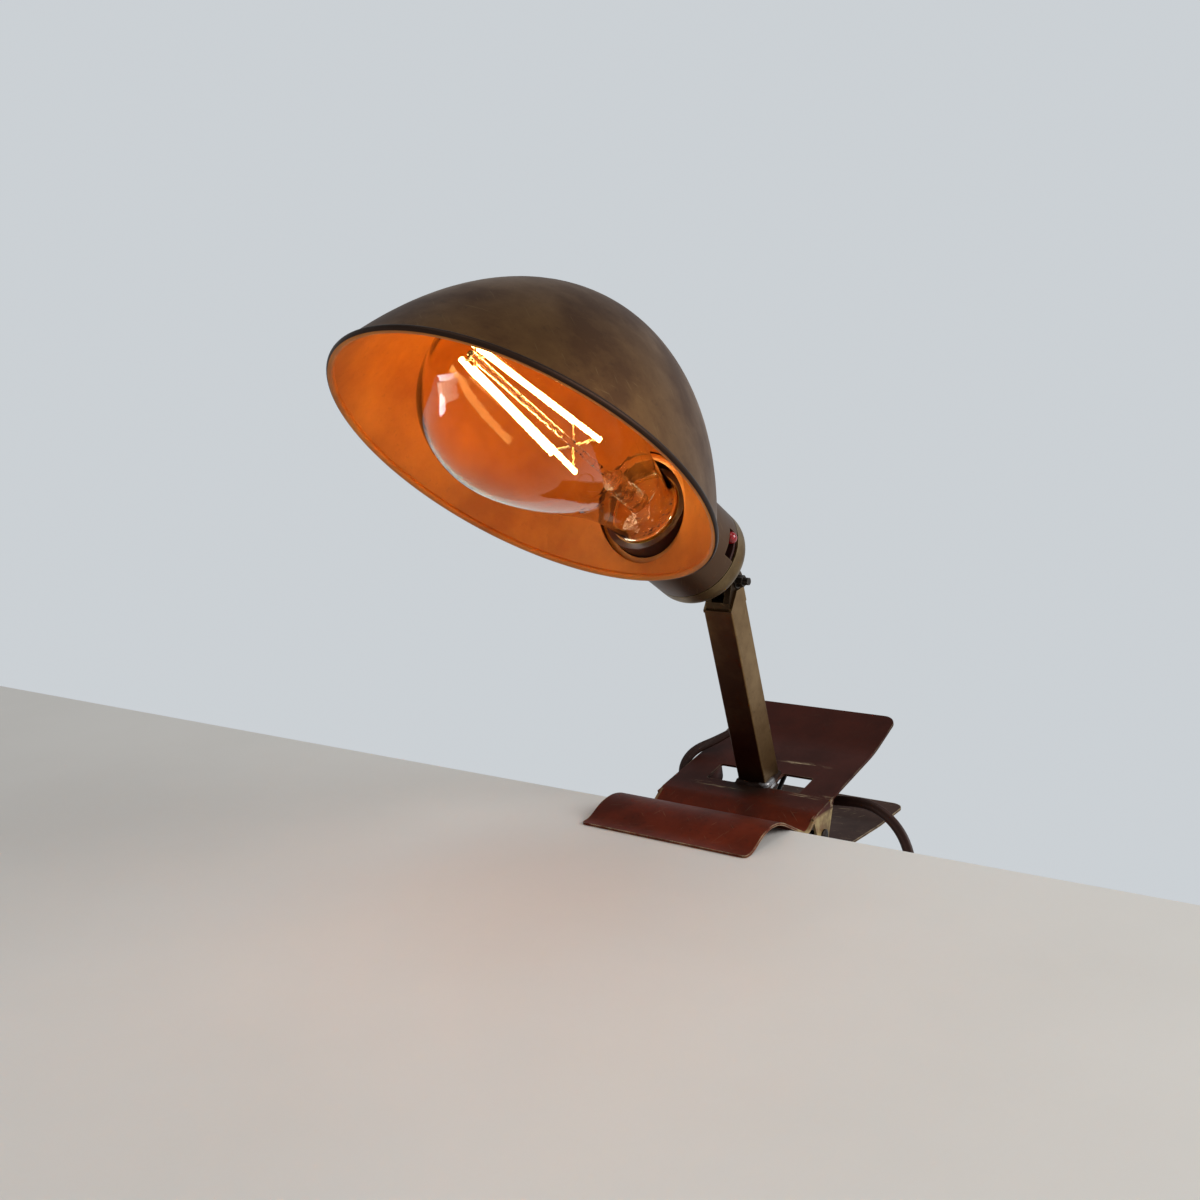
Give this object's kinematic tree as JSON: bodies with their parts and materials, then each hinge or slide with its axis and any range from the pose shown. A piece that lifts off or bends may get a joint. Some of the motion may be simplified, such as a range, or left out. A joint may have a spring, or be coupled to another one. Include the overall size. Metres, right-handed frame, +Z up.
{
  "type": "clip-on reading lamp",
  "caption": "Clip-on reading lamp: a sprung sheet-metal table clip, a leaning square arm, and a tilting dome shade over an amber filament bulb, with a flat cord.",
  "frame": {"origin": "middle of the upper lip's contact line on the board that the clip grips", "axes": "+X along the clip's width, -Y the way the shade points and the jaws open, +Z up"},
  "size_m": [0.1404, 0.285, 0.3762],
  "materials": {
    "clip_paint": "satin red-brown paint, worn light along the edges",
    "arm_brass": "aged brushed brass, tan where lit and brown-black on the front",
    "shade_brass": "spun brass with a brown-olive patina outside and a satin inside",
    "cap_brass": "olive aged brass",
    "inner_brass": "bright brass",
    "dark_steel": "blackened steel",
    "spring_steel": "drawn spring wire",
    "solder": "dull grey solder",
    "moulding": "dark maroon moulding",
    "bead": "red glass bead",
    "amber_glass": "thin amber-tinted glass",
    "clear_glass": "clear stem glass",
    "filament": "coated sticks that glow warm white",
    "cord": "dark brown moulded twin cord",
    "tie": "black woven tie",
    "plug_brass": "stamped brass blades"
  },
  "bodies": {
    "clip": {"upper_jaw": "clip_paint", "arm_tube": "arm_brass", "foot_solder": "solder", "arm_clevis": "dark_steel", "tilt_screw": "dark_steel", "tilt_nut": "dark_steel", "tilt_washers": "dark_steel", "hinge_pin": "dark_steel", "jaw_spring": "spring_steel", "cord_grommet": "cord", "arm_lead": "cord", "cord_run": "cord", "cord_coil": "cord", "cord_tie": "tie", "plug_body": "cord", "plug_blades": "plug_brass"},
    "jaw": {"lower_jaw": "clip_paint"},
    "head": {"head_lug": "dark_steel", "lug_locknut": "inner_brass", "socket_cap": "cap_brass", "shade": "shade_brass", "socket_body": "moulding", "screw_shell": "inner_brass", "center_contact": "inner_brass", "terminal_screws": "inner_brass"},
    "lever": {"switch_lever": "inner_brass", "lever_bead": "bead"},
    "bulb_foot": {"base_contact": "inner_brass"},
    "bulb": {"bulb_glass": "amber_glass", "bulb_base": "inner_brass", "base_insulator": "moulding", "bulb_stem": "clear_glass", "filament_sticks": "filament", "filament_wires": "spring_steel"}
  },
  "joints": [
    {"name": "jaw_open", "type": "hinge", "parent": "clip", "child": "jaw", "pos_m": [0, 0.064, -0.0105], "axis": [1, 0, 0], "range_deg": [-20, 12], "stiffness_Nm_per_rad": 0.8, "deforming": ["jaw_spring"]},
    {"name": "head_tilt", "type": "hinge", "parent": "clip", "child": "head", "pos_m": [0, 0.05086, 0.09238], "axis": [1, 0, 0], "range_deg": [-45, 50]},
    {"name": "switch_throw", "type": "hinge", "parent": "head", "child": "lever", "pos_m": [0, 0.05086, 0.09238], "axis": [0, -0.866, 0.5], "range_deg": [-16, 0]},
    {"name": "bulb_lift", "type": "slide", "parent": "head", "child": "bulb_foot", "axis": [0, -0.866, 0.5], "range_m": [0, 0.00362]},
    {"name": "bulb_turn", "type": "hinge", "parent": "bulb_foot", "child": "bulb", "pos_m": [0, 0.05086, 0.09238], "axis": [0, -0.866, 0.5], "range_deg": [0, 360]}
  ],
  "couplings": [
    {"joint": "bulb_lift", "follows": "bulb_turn", "m_per_rad": 0.00057296}
  ]
}
